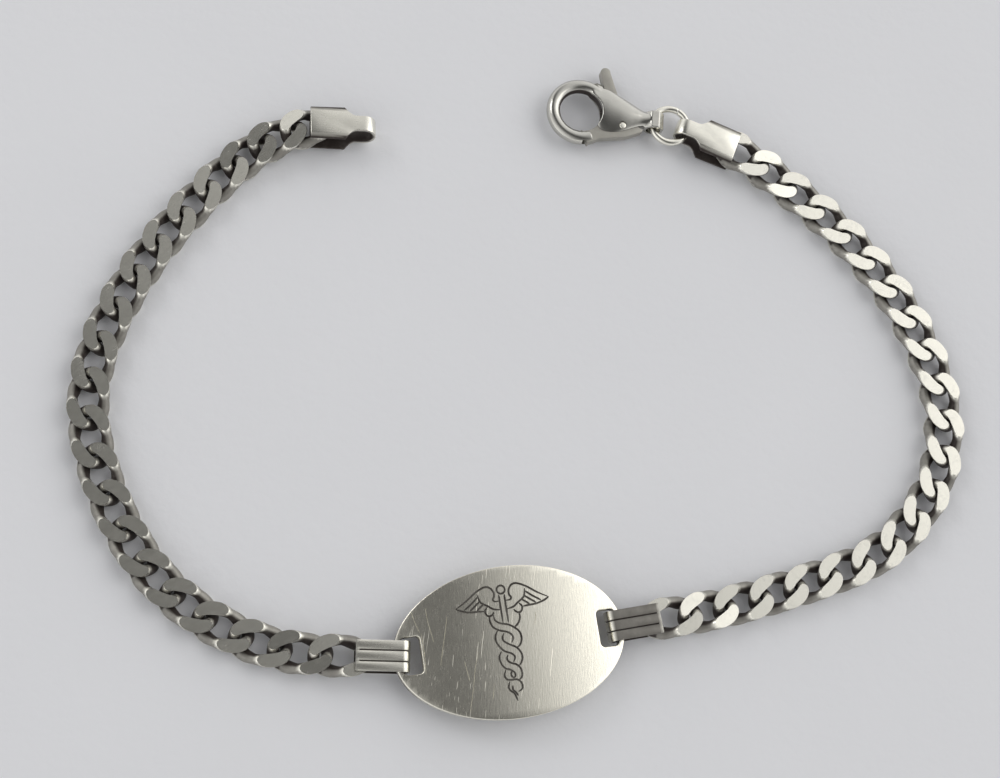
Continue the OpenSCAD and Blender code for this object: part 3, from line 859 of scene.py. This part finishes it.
@dataclass
class IdPlate:
    """The oval plate with its slots and its engraved emblem.

    Attributes:
        length: Length along the bracelet.
        width: Width.
        drop: How far its middle lies from the slots' line.
        thickness: Thickness.
        edge_r: Rounding of its edges.
        bend_r: Radius of its upper face.
        top: Height of its upper face's crest.
        slot_bar: Width of the bar outside each slot.
        slot_w: Width of a slot, along the plate.
        slot_len: Length of a slot, across the plate.
        slot_drop: How far its middle lies below the plate's line.
        slot_corner: Radius of a slot's corners.
        emblem_h: Height of the emblem.
        emblem_at: Middle of the emblem.
        lie: Where it lies: x, y, z and heading.
        line: Tool for the emblem's lines.
        scratch: Tool for the deep scratches.
    """

    length: float = 21.3
    width: float = 13.68
    drop: float = -0.16
    thickness: float = 0.9
    edge_r: float = 0.1
    bend_r: float = 50.0
    top: float = 2.648
    slot_bar: float = 0.72
    slot_w: float = 1.76
    slot_len: float = 3.35
    slot_drop: float = -0.1
    slot_corner: float = 0.4
    emblem_h: float = 10.0
    emblem_at: tuple[float, float] = (-0.35, -0.43)
    lie: Point = (-3.38, -24.84, 0, 6.5)
    line: Graver = Graver(width=0.2, depth=0.12, proud=0.004, finish=ENGRAVED)
    scratch: Graver = Graver(width=0.05, depth=0.03, proud=0.001, finish=PLATE)

    @property
    def slot_x(self) -> float:
        """How far each slot's middle lies from the plate's."""
        return self.length / 2 - self.slot_bar - self.slot_w / 2

    def slot_outline(self, x: float) -> list[Point]:
        """Returns the rounded outline of a slot.

        Args:
            x: Place of its middle along the plate.

        Returns:
            The outline's corners.
        """
        points = []
        for quarter, (sx, sy) in enumerate(((1, 1), (-1, 1), (-1, -1), (1, -1))):
            across = x + sx * (self.slot_w / 2 - self.slot_corner)
            up = self.slot_drop + sy * (self.slot_len / 2 - self.slot_corner)
            points += arc((across, up), self.slot_corner, 90 * quarter, 90 * quarter + 90, 6)
        return points

    def blank(self) -> Piece:
        """Models the flat plate with its slots, its edges rounded and its face divided for bending."""
        circle = arc((0, 0), 1, 0, 360, 144)[:-1]
        oval = [(self.length / 2 * x, self.drop + self.width / 2 * y) for x, y in circle]
        plate = Bench.prism("id_plate_engraved", oval, 0, self.thickness)
        for side in (-1, 1):
            Bench.combine(plate, Bench.prism("slot", self.slot_outline(side * self.slot_x), -1, 2))
        Bench.ease(plate, self.edge_r, 3, 50)
        Bench.start_edit(plate)
        for normal, half, pitch in (((1, 0, 0), self.length / 2, 0.5), ((0, 1, 0), self.width / 2, 0.7)):
            for step in range(-int(half / pitch), int(half / pitch) + 1):
                bpy.ops.mesh.select_all(action="SELECT")
                bpy.ops.mesh.bisect(plane_co=[axis * step * pitch for axis in normal], plane_no=normal)
        Bench.end_edit()
        return plate

    def engrave(self, plate: Piece) -> None:
        """Cuts the emblem and the deep scratches into the plate.

        Args:
            plate: The flat plate.
        """
        x0, y0 = self.emblem_at
        size = self.emblem_h
        shares = [stroke for twin in TWIN_STROKES for stroke in (twin, [(-x, y) for x, y in twin])]
        strokes = [[(x0 + x * size, y0 + y * size) for x, y in stroke] for stroke in shares + SINGLE_STROKES]
        for tool, cuts in ((self.line, strokes), (self.scratch, SCRATCHES)):
            for stroke in cuts:
                Bench.combine(plate, tool.cutter(stroke, self.thickness), material_mode="TRANSFER")
        ball = Bench.add(
            "ball",
            bpy.ops.mesh.primitive_torus_add,
            location=(x0, y0 + STAFF_BALL_UP * size, self.thickness + self.line.proud),
            major_radius=STAFF_BALL_R * size,
            minor_radius=self.line.width / 2,
            major_segments=32,
            minor_segments=4,
        )
        ball.data.materials.append(ENGRAVED.material())
        Bench.combine(plate, ball, material_mode="TRANSFER")

    def tarnish_and_shade(self, plate: Piece) -> None:
        """Stores the painted shade in the slots and under the plate around them.

        Args:
            plate: The flat plate, with its lower face at z = 0.
        """
        x, y, z = corners(plate).T
        beside = np.maximum(np.abs(np.abs(x) - self.slot_x) - self.slot_w / 2, 0)
        beyond = np.maximum(np.abs(y - self.slot_drop) - self.slot_len / 2, 0)
        near = fade(2.7 - np.hypot(beside, beyond), 0, 1.5)
        set_recess(plate, near * fade(self.thickness - z, 0.1, 0.1))

    def bend(self, plate: Piece) -> None:
        """Bends the flat plate along its length.

        Args:
            plate: The flat plate, with its lower face at z = 0.
        """
        place = corners(plate)
        radius = self.bend_r - self.thickness + place[:, 2]
        place[:, 2] = self.top - self.bend_r + np.sqrt(radius**2 - place[:, 0] ** 2)
        plate.data.vertices.foreach_set("co", place.astype(np.float32).ravel())
        plate.data.update()

    def build(self) -> None:
        """Makes the plate and lays it in the bracelet."""
        plate = self.blank()
        plate.data.materials.clear()
        plate.data.materials.append(PLATE.material())
        self.engrave(plate)
        self.tarnish_and_shade(plate)
        self.bend(plate)
        Bench.deliver(Bench.smooth(plate, 30), spot(*self.lie), PLATE, "plate_silver", "id_plate")


@dataclass
class FoldedStraps:
    """The ribbed bails at the plate and the end tags at the chain's ends.

    Attributes:
        strip: Thickness of the strip.
        leaf_gap: Room between a strap's leaves.
        bail_len: Length of a bail over its fold.
        bail_width: Width of a bail.
        groove_w: Width of the grooves between its ribs.
        groove_d: Depth of those grooves.
        rib_drop: Height that each rib's rounding falls at its sides.
        lip: Plain lip that the grooves stop at.
        lip_ramp: Length over which the grooves run out.
        fold_press: How far a bail's fold is pressed flatter than round.
        tag_len: Length of an end tag over its fold.
        tag_width: Width of a tag's leaves.
        wide_len: Length of the leaves' wide part.
        neck_w: Width of a tag's neck.
        bevel_w: Width of the bevel along a leaf.
        bevel_d: Drop of that bevel.
        pin_d: Diameter of the pin between two leaves.
        pin_inset: Distance of that pin from the leaves' ends.
        leaf_shade_at: Middle of the painted shade along a leaf.
        leaf_shade_half: Half the length of that stretch.
        bails: Each bail's side, its x, y, z and heading, and the strength of its painted shade along the
            leaves.
        tags: Each tag's side, its x, y, z, heading and roll, and the strength of its painted shade along the
            leaves.
    """

    strip: float = 0.35
    leaf_gap: float = 1.6
    bail_len: float = 5.35
    bail_width: float = 2.75
    groove_w: float = 0.16
    groove_d: float = 0.15
    rib_drop: float = 0.03
    lip: float = 0.3
    lip_ramp: float = 0.05
    fold_press: float = 0.36
    tag_len: float = 6.3
    tag_width: float = 3.55
    wide_len: float = 3.3
    neck_w: float = 1.65
    bevel_w: float = 0.6
    bevel_d: float = 0.16
    pin_d: float = 0.4
    pin_inset: float = 0.3
    leaf_shade_at: float = 1.85
    leaf_shade_half: float = 2.35
    bails: tuple[tuple[str, Point, float], ...] = (
        ("left", (-13.2, -26.009, STRAP_Z, 177), 0.12),
        ("right", (6.442, -23.729, STRAP_Z, 8), 0.78),
    )
    tags: tuple[tuple[str, Point, float], ...] = (
        ("left", (-15.40539, 24.71662, 1.31965, 179, 9), 0.22),
        ("right", (16.9165, 25.4432, STRAP_Z, 337), 0.0),
    )

    @property
    def fold_r(self) -> float:
        """Outer radius of a fold."""
        return self.leaf_gap / 2 + self.strip

    def fold_side(self, leaf: float) -> list[Point]:
        """Returns the side view of a folded strip.

        Args:
            leaf: Where its leaves end along X.

        Returns:
            The view's corners, as x and z.
        """
        outer, inner = self.fold_r, self.leaf_gap / 2
        outside, inside = arc((0, 0), outer, 90, 270, 24), arc((0, 0), inner, 270, 90, 24)
        return [(leaf, outer), *outside, (leaf, -outer), (leaf, -inner), *inside, (leaf, inner)]

    def add_pin(self, strap: Piece, leaf: float) -> None:
        """Joins the pin that holds the last link between a strap's two leaves.

        Args:
            strap: The strap.
            leaf: Where its leaves end along X.
        """
        place = Matrix.Translation((leaf - self.pin_inset, 0, 0))
        pin = Bench.rod("pin", self.pin_d / 2, self.leaf_gap + self.strip, 20, place)
        Bench.combine(strap, pin, "UNION")

    def ribbed_section(self) -> list[Point]:
        """Returns the section of a bail's upper leaf, as y and z: flat inside, three round ribs outside."""
        half, inner = self.bail_width / 2, self.leaf_gap / 2
        rib = (self.bail_width - 2 * self.groove_w) / 3
        points = [(-half, inner), (half, inner)]
        for number in (1, 0, -1):
            middle = number * (rib + self.groove_w)
            for share in (1, 0.85, 0.6, 0.3, 0, -0.3, -0.6, -0.85, -1):
                points.append((middle + share * rib / 2, self.fold_r - self.rib_drop * share**2))
            if number > -1:
                bottom = self.fold_r - self.groove_d
                gap = middle - (rib + self.groove_w) / 2
                points += [(gap + self.groove_w / 6, bottom), (gap - self.groove_w / 6, bottom)]
        return points

    def bail(self) -> Piece:
        """Models a bail: a ribbed section extruded, spun round the fold and extruded again."""
        leaf = self.bail_len - self.fold_r
        ramp_end = leaf - self.lip - self.lip_ramp
        strap = Bench.prism("bail", self.ribbed_section(), leaf, leaf - self.lip)
        strap.data.transform(ALONG_X)
        Bench.pick_face(strap, leaf - self.lip)
        Bench.start_edit(strap, whole=False)
        for step in (-self.lip_ramp, -ramp_end):
            Bench.push((step, 0, 0))
        bpy.ops.mesh.spin(steps=28, angle=math.radians(180), center=(0, 0, 0), axis=(0, 1, 0))
        for step in (ramp_end, self.lip_ramp, self.lip):
            Bench.push((step, 0, 0))
        bpy.ops.mesh.select_all(action="SELECT")
        bpy.ops.mesh.remove_doubles(threshold=0.0005)
        Bench.end_edit()
        for corner in strap.data.vertices:
            x, _, z = corner.co
            if x > leaf - self.lip - self.lip_ramp / 2 and abs(z) > self.leaf_gap / 2 + 0.01:
                corner.co.z = math.copysign(self.fold_r - self.rib_drop / 3, z)
            if x < 0:
                corner.co.x *= 1 - self.fold_press / math.hypot(x, z)
        self.add_pin(strap, leaf)
        return strap

    def tag(self) -> Piece:
        """Models an end tag: wide bevelled leaves, and a neck whose fold is an eye."""
        leaf = self.tag_len - self.fold_r
        shoulder = leaf - self.wide_len
        half, neck, flat = self.tag_width / 2, self.neck_w / 2, self.tag_width / 2 - self.bevel_w
        strap = Bench.prism("tag", self.fold_side(leaf), -self.tag_width, self.tag_width)
        strap.data.transform(UPRIGHT)
        upper = [(-self.fold_r - 1, neck)]
        for s in (k / 10 for k in range(11)):
            upper.append((shoulder * (0.4 + 0.6 * s), neck + (half - neck) * s * s))
        upper.append((leaf + 0.1, half * 0.97))
        plan = upper + [(x, -y) for x, y in reversed(upper)]
        Bench.combine(strap, Bench.prism("plan", plan, -3, 3), "INTERSECT")
        low = self.fold_r - self.bevel_d
        section = [(-half, -low), (-flat, -self.fold_r), (flat, -self.fold_r), (half, -low)]
        section += [(-y, -z) for y, z in section]
        block = Bench.prism("section", section, -2 * self.tag_len, 2 * self.tag_len)
        block.data.transform(ALONG_X)
        Bench.combine(strap, block, "INTERSECT")
        Bench.ease(strap, 0.06, 3, 30)
        self.add_pin(strap, leaf)
        return strap

    def tarnish_and_shade(self, strap: Piece, press: float, leaf_shade: float) -> None:
        """Stores the painted shade inside a strap's fold and along the middle of its leaves.

        Args:
            strap: The strap in its own frame.
            press: How far its fold is pressed.
            leaf_shade: Strength of the painted shade along the middle of its leaves.
        """
        x, _, z = corners(strap).T
        behind = np.minimum(x, 0)
        radius = np.hypot(behind, z)
        for _ in range(4):
            radius = np.hypot(behind / (1 - press / np.maximum(radius, 2 * press + 0.01)), z)
        inside = fade(self.fold_r - radius, 0.035, 0.06)
        middle = fade(self.leaf_shade_half - np.abs(x - self.leaf_shade_at), 0, 0.3)
        set_recess(strap, np.maximum(inside, leaf_shade * middle))

    def build(self) -> None:
        """Makes both bails and both tags."""
        kinds = (("bail", "ribbed", self.bail, self.fold_press, self.bails),
                 ("tag", "folded", self.tag, 0.0, self.tags))
        for kind, look, model, press, lies in kinds:
            for side, lie, leaf_shade in lies:
                strap = model()
                strap.name = f"{kind}_{side}_{look}"
                self.tarnish_and_shade(strap, press, leaf_shade)
                Bench.deliver(Bench.smooth(strap, 40), spot(*lie), STRAP, "strap_silver", f"{kind}_{side}")


@dataclass
class LobsterClasp:
    """The jump ring and the lobster claw clasp with its lever and pin.

    Attributes:
        ring_r: Middle radius of the jump ring.
        ring_wire: Diameter of its wire.
        ring_gap: Closed cut in the jump ring, in degrees.
        ring_lie: Where the jump ring lies: x, y, z and heading.
        reach: Distance from the hook's middle to the tail eye's.
        hole_r: Radius of the hole inside the hook.
        wire: Diameter of the hook's wire.
        cast: Diameter of the bar that the hook is blended from.
        hook_arc: Where the hook's bar starts and how far it goes round, in degrees.
        tail_w: Width of the tail eye.
        tail_hole_r: Radius of the tail eye's hole.
        tail_wall: Wall round that hole.
        lever_t: Thickness of the lever.
        lever_play: Gap between lever and cheeks.
        gate_tip: The gate's end, its outer and its inner corner.
        thumb_at: Middle of the thumb piece's round end.
        thumb_r: Radius of that end.
        pin_d: Diameter of the lever's pin.
        pin_len: Length of that pin.
        pin_at: Where the pin stands.
        lie: Where the hook's middle lies, with the tail along the heading: x, y, z and heading.
        sections: Sections of the body along X: place, upper edge, lower edge, half its thickness.
    """

    ring_r: float = 1.81
    ring_wire: float = 0.68
    ring_gap: float = 1.6
    ring_lie: Point = (15.2626, 26.0451, STRAP_Z, 60)
    reach: float = 7.45
    hole_r: float = 2.15
    wire: float = 1.2
    cast: float = 1.36
    hook_arc: tuple[float, float] = (40, 255)
    tail_w: float = 1.75
    tail_hole_r: float = 0.7186
    tail_wall: float = 0.32
    lever_t: float = 0.9
    lever_play: float = 0.06
    gate_tip: tuple[Point, Point] = ((0.8704, -3.40025), (0.1206, -2.10045))
    thumb_at: Point = (2.1918, 4.4555)
    thumb_r: float = 0.5025
    pin_d: float = 0.7
    pin_len: float = 1.66
    pin_at: Point = (4.2018, -1.1055)
    lie: Point = (6.1967, 27.2478, STRAP_Z, 353)
    sections: tuple[Point, ...] = (
        (0.5, 3.05, 2.45, 0.3), (0.65, 3.2, 2.1, 0.48), (0.9, 3.3, 1.4, 0.62), (1.2, 3.36, 0.2, 0.71),
        (1.5, 3.35, -1.2, 0.77), (1.8, 3.28, -2.0, 0.82), (2.1, 3.18, -2.25, 0.86), (2.7, 2.95, -2.28, 0.93),
        (3.4, 2.58, -2.15, 0.99), (4.1, 2.17, -1.9, 1.03), (4.8, 1.77, -1.55, 1.03), (5.5, 1.37, -1.2, 0.98),
        (6.1, 1.05, -0.95, 0.92), (6.6, 0.9, -0.87, 0.9), (7.0, 0.87, -0.87, 0.92), (7.3, 0.87, -0.87, 0.95),
    )

    @property
    def outer_r(self) -> float:
        """Outer radius of the hook."""
        return self.hole_r + self.wire

    def scaled(self, table: list[Point]) -> list[Point]:
        """Turns shares of the reach and of the hook's outer radius into points."""
        return [(x * self.reach, y * self.outer_r) for x, y in table]

    def pin_rod(self, name: str, radius: float, length: float, sides: int) -> Piece:
        """Makes a rod that stands where the pin does."""
        return Bench.rod(name, radius, length, sides, Matrix.Translation((*self.pin_at, 0)))

    def shell(self) -> Piece:
        """Models the body's closed shell: a sphere whose rings are fitted to sections along the clasp.

        Returns:
            The shell, with the hook's hole cut through it.
        """
        sections = smoothed(list(self.sections))
        rings = len(sections) + 1
        shell = Bench.add(
            "clasp_body_cast", bpy.ops.mesh.primitive_uv_sphere_add, segments=64, ring_count=rings, radius=1
        )
        for corner in shell.data.vertices:
            ring = round(math.acos(max(-1.0, min(1.0, corner.co.z))) / math.pi * rings)
            x, top, bottom, height = sections[min(max(ring - 1, 0), rings - 2)]
            across, up = Vector(corner.co.xy).normalized() if 0 < ring < rings else (0, 0)
            corner.co = (x, (top + bottom) / 2 + across * (top - bottom) / 2, up * height)
        Bench.start_edit(shell)
        Bench.end_edit()
        Bench.combine(shell, Bench.rod("hole", self.hole_r - 0.04, 6, 96, Matrix()))
        return shell

    def body(self) -> Piece:
        """Models the clasp's body: hook, shell and tail blended into one casting, then cut out."""
        body = self.shell()
        hook = Bench.spun("hook", self.cast, self.hole_r + self.wire / 2, *self.hook_arc, 52)
        Bench.combine(body, hook, "UNION")
        end = Matrix.Translation((self.reach, 0, 0)) @ UPRIGHT
        flat_up = end @ Matrix.Rotation(math.radians(22.5), 4, "Z")
        tail = Bench.rod("tail", self.tail_hole_r + self.tail_wall, self.tail_w, 8, flat_up)
        Bench.combine(body, tail, "UNION")
        Bench.modify(body, "REMESH", mode="VOXEL", voxel_size=0.05)
        Bench.modify(body, "SMOOTH", factor=0.5, iterations=12)
        pocket = self.scaled([(0.07, 0.15), (0.03, -1.5), (0.95, -1.5), (0.95, -0.34), (0.71, -0.06),
                              (0.7, 0.4), (0.67, 1.5)])
        pocket += [(1.549, 5.025), (1.549, self.thumb_at[1]), (2.66, 0.46)]
        half = self.lever_t / 2 + self.lever_play
        Bench.combine(body, Bench.prism("pocket", pocket, -half, half))
        Bench.combine(body, Bench.rod("eye", self.tail_hole_r, 6, 48, end))
        Bench.combine(body, self.pin_rod("bore", self.pin_d / 2 + 0.02, 6, 32))
        # Painted shade on the wall of the hook's hole, stored as its recess amount.
        x, y, z = corners(body).T
        inside = fade(self.hole_r + 0.16 - np.hypot(x, y), 0, 0.12)
        set_recess(body, inside * fade(0.52 - np.abs(z), 0, 0.12))
        return body

    def lever(self) -> Piece:
        """Models the lever: gate, arm and thumb piece in one flat piece."""
        half = self.lever_t / 2
        gate = [self.gate_tip[0], *arc((0, 0), self.outer_r, -70, -54, 4)]
        gate += self.scaled([(0.62, -0.64), (0.84, -0.41), (0.85, -0.33)])
        gate += self.scaled([(0.8, -0.3), (0.7, -0.16), (0.45, -0.1)])
        gate += [*arc((0, 0), self.hole_r + 0.05, -40, -82, 7), self.gate_tip[1]]
        lever = Bench.prism("clasp_lever_sprung", gate, -half, half)
        x, y = self.pin_at
        thumb = [(x - 0.27 * self.outer_r, y - 0.06 * self.outer_r), (x + 0.18 * self.outer_r, y)]
        thumb += arc(self.thumb_at, self.thumb_r, 0, 180, 9)
        Bench.combine(lever, Bench.prism("thumb", thumb, -half, half), "UNION")
        Bench.combine(lever, self.pin_rod("boss", self.pin_d, self.lever_t, 48), "UNION")
        Bench.combine(lever, self.pin_rod("bore", self.pin_d / 2 + 0.04, 6, 32))
        return Bench.ease(lever, 0.1, 3, 40)

    def build(self) -> None:
        """Makes the ring, the body, the lever and its pin."""
        ring = Bench.spun("jump_ring_cut", self.ring_wire, self.ring_r, 0, 360 - self.ring_gap, 72)
        Bench.smooth(Bench.ease(ring, 0.03, 2, 60), 40)
        Bench.deliver(ring, spot(*self.ring_lie), RING, "ring_silver", "jump_ring")
        place = spot(*self.lie)
        Bench.deliver(Bench.smooth(self.body(), 35), place, CLASP, "clasp_silver", "clasp_body")
        Bench.deliver(Bench.smooth(self.lever(), 35), place, LEVER, "clasp_silver", "clasp_lever", "lever")
        pin = self.pin_rod("lever_pin_domed", self.pin_d / 2, self.pin_len, 40)
        Bench.smooth(Bench.ease(pin, 0.12, 4, 40), 35)
        Bench.deliver(pin, place, PIN, "pin_silver", "lever_pin")


@dataclass
class Studio:
    """The pale floor, the lights and the camera.

    Attributes:
        lens: The camera's lens, in millimetres.
        sensor: Width of its sensor, in millimetres.
        target: Point that the camera looks at, in metres.
        distance: Distance from that point.
        back: Direction from that point to the camera.
        up: The camera's upward direction.
        room_side: The way that the room grows brighter.
        room: How bright the room is: how far a direction leans that way, and the level there.
        glow: The room's level at the horizon, and how it falls with height.
        papers: The two tones of the floor.
        panels: The lights: name, place and size in metres, power in watts, tint.
    """

    lens: float = 61.2
    sensor: float = 36.0
    target: Point = (-0.00298, -0.00089, 0.0)
    distance: float = 0.16101
    back: Point = (-0.1707, -0.2563, 0.9514)
    up: Point = (0.0, 0.9656, 0.2601)
    room_side: Point = (0.9, 0.43, 0.0)
    room: tuple[Point, ...] = (
        (-1.0, 1.256), (1.0, 1.349), (-0.5, 0.4935), (-0.25, 0.1643), (0.0, 0.0599), (0.1, 0.1494),
        (0.22, 0.4154), (0.42, 0.879), (0.6, 0.9457),
    )
    glow: tuple[float, float] = (1.3, -1.8)
    papers: tuple[Point, Point] = ((0.806, 0.811, 0.838, 1), (0.836, 0.841, 0.868, 1))
    panels: tuple[tuple[str, Point, float, float, Point], ...] = (
        ("window", (0.84, 0.25, 0.64), 0.8, 1.9, (1.0, 0.98, 0.93)),
        ("fill", (-0.5, 0.4, 0.42), 0.3, 0.75, (1.0, 1.0, 1.0)),
    )

    def camera(self) -> None:
        """Sets up the camera at the photograph's angle."""
        data = bpy.data.cameras.new("camera")
        data.lens = self.lens
        data.sensor_width = self.sensor
        data.clip_start = 0.005
        camera = shown("camera", data)
        back, up = Vector(self.back).normalized(), Vector(self.up).normalized()
        turn = Matrix((up.cross(back).normalized(), up, back)).transposed().to_4x4()
        camera.matrix_world = Matrix.Translation(Vector(self.target) + back * self.distance) @ turn
        bpy.context.scene.camera = camera

    def floor(self) -> None:
        """Lays the pale paper that the bracelet lies on."""
        floor = Bench.add("floor", bpy.ops.mesh.primitive_plane_add, size=3)
        floor.location = (0, 0, -0.00002)
        paper = bpy.data.materials.new("paper")
        paper.use_nodes = True
        wire = Wiring(paper.node_tree)
        shader = wire.shader("BSDF_PRINCIPLED")
        shader.inputs["Roughness"].default_value = 0.9
        shader.inputs["Specular IOR Level"].default_value = 0.2
        place = (wire.node("ShaderNodeTexCoord"), "Object")
        cloud = wire.node("ShaderNodeTexNoise", Scale=60.0, Detail=2.0, Vector=place)
        wire.feed(shader, "Base Color", wire.blend(cloud, *self.papers))
        fibre = wire.node("ShaderNodeTexNoise", Scale=900.0, Detail=4.0, Vector=place)
        bump = wire.node("ShaderNodeBump", Strength=0.25, Distance=0.0002, Height=fibre)
        wire.feed(shader, "Normal", bump)
        floor.data.materials.append(paper)

    def panel(self, name: str, place: Point, size: float, power: float, tint: Point) -> None:
        """Hangs a soft square light that faces the bracelet.

        Args:
            name: The light's name.
            place: Where its middle is, in metres.
            size: Its width.
            power: Its power in watts.
            tint: Its colour.
        """
        data = bpy.data.lights.new(name, "AREA")
        data.size = size
        data.energy = power
        data.color = tint
        light = shown(name, data)
        light.location = place
        light.rotation_euler = (-Vector(place)).to_track_quat("-Z", "Y").to_euler()

    def world(self) -> None:
        """Gives the room its soft light, which grows from the left to the right."""
        world = bpy.data.worlds.new("room")
        world.use_nodes = True
        bpy.context.scene.world = world
        wire = Wiring(world.node_tree)
        way = (wire.node("ShaderNodeTexCoord"), "Generated")
        side = wire.vector("DOT_PRODUCT", way, self.room_side)
        ramp = wire.node("ShaderNodeValToRGB", Fac=wire.math("MULTIPLY_ADD", side, 0.5, 0.5))
        stops = ramp.color_ramp.elements
        for number, (lean, level) in enumerate(self.room):
            stop = stops[number] if number < 2 else stops.new(lean / 2 + 0.5)
            stop.position = lean / 2 + 0.5
            stop.color = (level, level, level, 1)
        height = (wire.node("ShaderNodeSeparateXYZ", Vector=way), "Z")
        level, fall = self.glow
        glow = wire.math("MULTIPLY_ADD", height, fall, level, clamp=True)
        wire.feed(wire.shader("BACKGROUND"), "Color", wire.math("MAXIMUM", ramp, glow))

    def build(self) -> None:
        """Sets up the camera, the floor and the light."""
        bpy.context.scene.view_settings.view_transform = "Standard"
        self.camera()
        self.floor()
        self.world()
        for panel in self.panels:
            self.panel(*panel)


def main() -> None:
    """Builds the bracelet and its stage in order."""
    logging.basicConfig(level=logging.INFO, format="%(message)s")
    for assembly in (Studio(), CurbChain(), IdPlate(), FoldedStraps(), LobsterClasp()):
        log.info("building %s", type(assembly).__name__)
        assembly.build()


if __name__ == "__main__":
    main()
